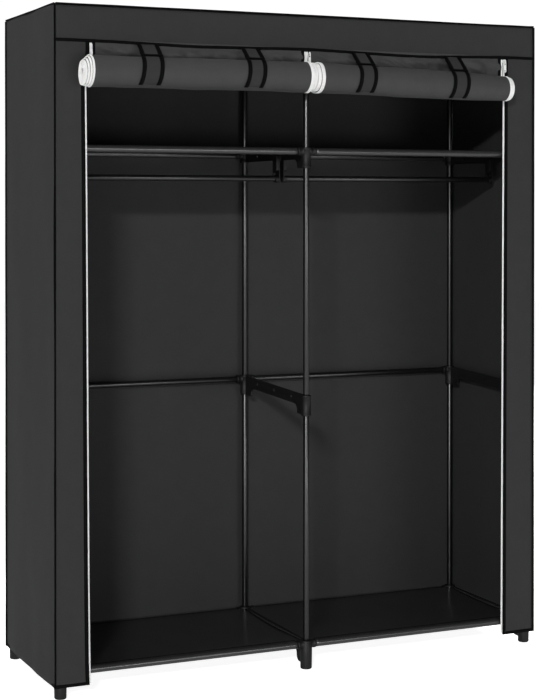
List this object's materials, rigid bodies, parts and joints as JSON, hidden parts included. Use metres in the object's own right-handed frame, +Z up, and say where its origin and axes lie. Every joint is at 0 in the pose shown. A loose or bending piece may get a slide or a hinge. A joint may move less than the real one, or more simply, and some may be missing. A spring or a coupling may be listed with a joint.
{
  "type": "portable fabric wardrobe",
  "caption": "Free-standing wardrobe of steel tubes under a cloth cover, with a hanging rod and cloth shelves in each bay and doors rolled up under straps.",
  "frame": {"origin": "on the floor, in the middle of the width and of the depth with the rolled doors", "axes": "+X to the right of someone facing the doors, +Y to the back, +Z up"},
  "size_m": [1.4, 0.5321, 1.74],
  "materials": {
    "black_steel": "black powder coat, smooth and slightly glossy",
    "black_plastic": "black moulded plastic with a fine texture",
    "grey_cloth": "dark grey non-woven cloth, matte, with black bound edges",
    "shelf_cloth": "dark grey non-woven cloth, stretched over the tubes",
    "strap_cloth": "dark grey non-woven cloth with wide black bound edges",
    "white_zip": "white enamel, slightly glossy"
  },
  "bodies": {
    "frame": {"pole_lower_front_left": "black_steel", "pole_upper_front_left": "black_steel", "pole_lower_back_left": "black_steel", "pole_upper_back_left": "black_steel", "pole_lower_front_centre": "black_steel", "pole_upper_front_centre": "black_steel", "pole_lower_back_centre": "black_steel", "pole_upper_back_centre": "black_steel", "pole_lower_front_right": "black_steel", "pole_upper_front_right": "black_steel", "pole_lower_back_right": "black_steel", "pole_upper_back_right": "black_steel", "floor_tube_front_left": "black_steel", "floor_tube_front_right": "black_steel", "floor_tube_back_left": "black_steel", "floor_tube_back_right": "black_steel", "middle_tube_back_left": "black_steel", "middle_tube_back_right": "black_steel", "shelf_tube_front_left": "black_steel", "shelf_tube_front_right": "black_steel", "shelf_tube_back_left": "black_steel", "shelf_tube_back_right": "black_steel", "top_tube_front_left": "black_steel", "top_tube_front_right": "black_steel", "top_tube_back_left": "black_steel", "top_tube_back_right": "black_steel", "hanging_rod_left": "black_steel", "hanging_rod_right": "black_steel", "foot_bracket_left": "black_plastic", "foot_bracket_centre": "black_plastic", "foot_bracket_right": "black_plastic", "middle_bracket_left": "black_plastic", "middle_bracket_centre": "black_plastic", "middle_bracket_right": "black_plastic", "shelf_bracket_left": "black_plastic", "shelf_bracket_centre": "black_plastic", "shelf_bracket_right": "black_plastic", "top_bracket_left": "black_plastic", "top_bracket_centre": "black_plastic", "top_bracket_right": "black_plastic", "floor_cloth_left": "shelf_cloth", "floor_cloth_right": "shelf_cloth", "top_shelf_cloth_left": "shelf_cloth", "top_shelf_cloth_right": "shelf_cloth", "cover_side_left": "grey_cloth", "cover_side_right": "grey_cloth", "cover_back_and_top": "grey_cloth", "cover_front": "grey_cloth"},
    "door_left": {"door_left": "grey_cloth"},
    "door_right": {"door_right": "grey_cloth"},
    "strap_left_outer": {"strap_left_outer": "strap_cloth"},
    "strap_left_inner": {"strap_left_inner": "strap_cloth"},
    "strap_right_outer": {"strap_right_outer": "strap_cloth"},
    "strap_right_inner": {"strap_right_inner": "strap_cloth"},
    "zip_slider_left": {"zip_slider_left": "white_zip"},
    "zip_slider_centre": {"zip_slider_centre": "white_zip"},
    "zip_slider_right": {"zip_slider_right": "white_zip"},
    "zip_pull_left": {"zip_pull_left": "white_zip"},
    "zip_pull_centre": {"zip_pull_centre": "white_zip"},
    "zip_pull_right": {"zip_pull_right": "white_zip"}
  },
  "joints": [
    {"name": "door_left_unroll", "type": "slide", "parent": "frame", "child": "door_left", "axis": [0, 0, -1], "range_m": [0, 1.498], "deforming": ["strap_left_outer", "strap_left_inner"]},
    {"name": "door_right_unroll", "type": "slide", "parent": "frame", "child": "door_right", "axis": [0, 0, -1], "range_m": [0, 1.498], "deforming": ["strap_right_outer", "strap_right_inner"]},
    {"name": "zip_slider_left_slide", "type": "slide", "parent": "frame", "child": "zip_slider_left", "axis": [0, 0, -1], "range_m": [0, 1.498]},
    {"name": "zip_slider_centre_slide", "type": "slide", "parent": "frame", "child": "zip_slider_centre", "axis": [0, 0, -1], "range_m": [0, 1.498]},
    {"name": "zip_slider_right_slide", "type": "slide", "parent": "frame", "child": "zip_slider_right", "axis": [0, 0, -1], "range_m": [0, 1.498]},
    {"name": "zip_pull_left_swing", "type": "hinge", "parent": "zip_slider_left", "child": "zip_pull_left", "pos_m": [-0.607, -0.18737, 1.6433], "axis": [-1, 0, 0], "range_deg": [0, 150]},
    {"name": "zip_pull_centre_swing", "type": "hinge", "parent": "zip_slider_centre", "child": "zip_pull_centre", "pos_m": [0, -0.18737, 1.6433], "axis": [-1, 0, 0], "range_deg": [0, 150]},
    {"name": "zip_pull_right_swing", "type": "hinge", "parent": "zip_slider_right", "child": "zip_pull_right", "pos_m": [0.607, -0.18737, 1.6433], "axis": [-1, 0, 0], "range_deg": [0, 150]},
    {"name": "strap_left_outer_open", "type": "hinge", "parent": "frame", "child": "strap_left_outer", "pos_m": [-0.457, -0.18644, 1.65691], "axis": [-1, 0, 0], "range_deg": [0, 110]},
    {"name": "strap_left_inner_open", "type": "hinge", "parent": "frame", "child": "strap_left_inner", "pos_m": [-0.172, -0.18644, 1.65691], "axis": [-1, 0, 0], "range_deg": [0, 110]},
    {"name": "strap_right_outer_open", "type": "hinge", "parent": "frame", "child": "strap_right_outer", "pos_m": [0.435, -0.18644, 1.65691], "axis": [-1, 0, 0], "range_deg": [0, 110]},
    {"name": "strap_right_inner_open", "type": "hinge", "parent": "frame", "child": "strap_right_inner", "pos_m": [0.15, -0.18644, 1.65691], "axis": [-1, 0, 0], "range_deg": [0, 110]}
  ],
  "couplings": [
    {"joint": "zip_slider_left_slide", "follows": "door_left_unroll", "ratio": 1},
    {"joint": "zip_slider_centre_slide", "follows": "door_left_unroll", "ratio": 1},
    {"joint": "zip_slider_right_slide", "follows": "door_right_unroll", "ratio": 1}
  ]
}
